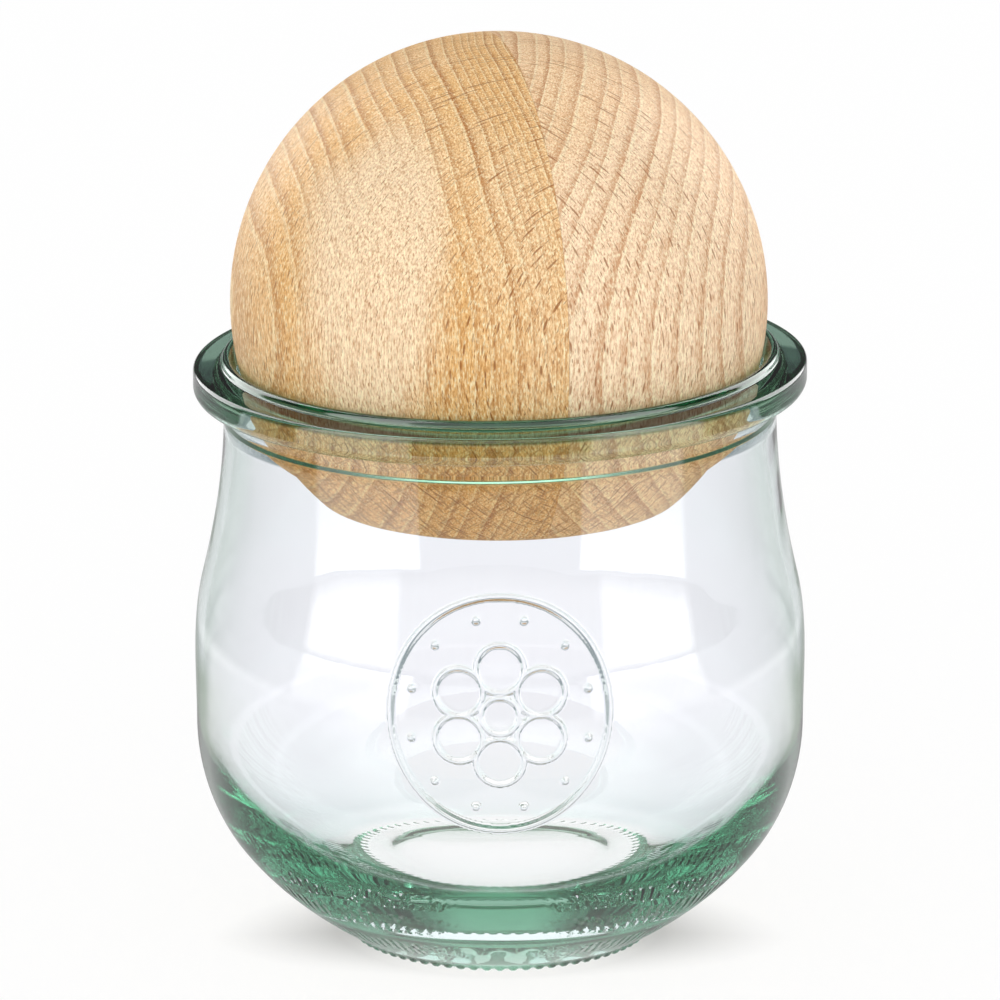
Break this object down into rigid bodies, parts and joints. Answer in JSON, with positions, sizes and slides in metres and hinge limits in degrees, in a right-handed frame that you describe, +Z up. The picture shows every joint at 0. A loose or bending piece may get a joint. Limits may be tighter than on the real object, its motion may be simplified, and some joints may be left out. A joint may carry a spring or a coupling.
{
  "type": "preserving jar with ball lid",
  "caption": "Tulip-shaped glass preserving jar with a rolled rim and a ribbed foot, closed by a loose beech ball that sits in its mouth.",
  "frame": {"origin": "on the jar's axis, in the plane that the foot stands on", "axes": "+Z up along the jar's axis, -Y towards the front of the picture, +X to its right"},
  "size_m": [0.1092, 0.1092, 0.1642],
  "materials": {
    "jar_glass": "clear pressed and blown soda-lime glass, pale green where it is thick",
    "beech_left": "sanded beech, oiled, golden, with ray flecks and vertical grain",
    "beech_right": "sanded beech, oiled, lighter and pinker, with ray flecks and vertical grain"
  },
  "bodies": {
    "jar": {"glass_jar": "jar_glass"},
    "ball_lid": {"ball_left_half": "beech_left", "ball_right_half": "beech_right"}
  },
  "joints": [
    {"name": "lid_lift", "type": "slide", "parent": "jar", "child": "ball_lid", "axis": [0, 0, 1], "range_m": [0, 0.06]}
  ]
}
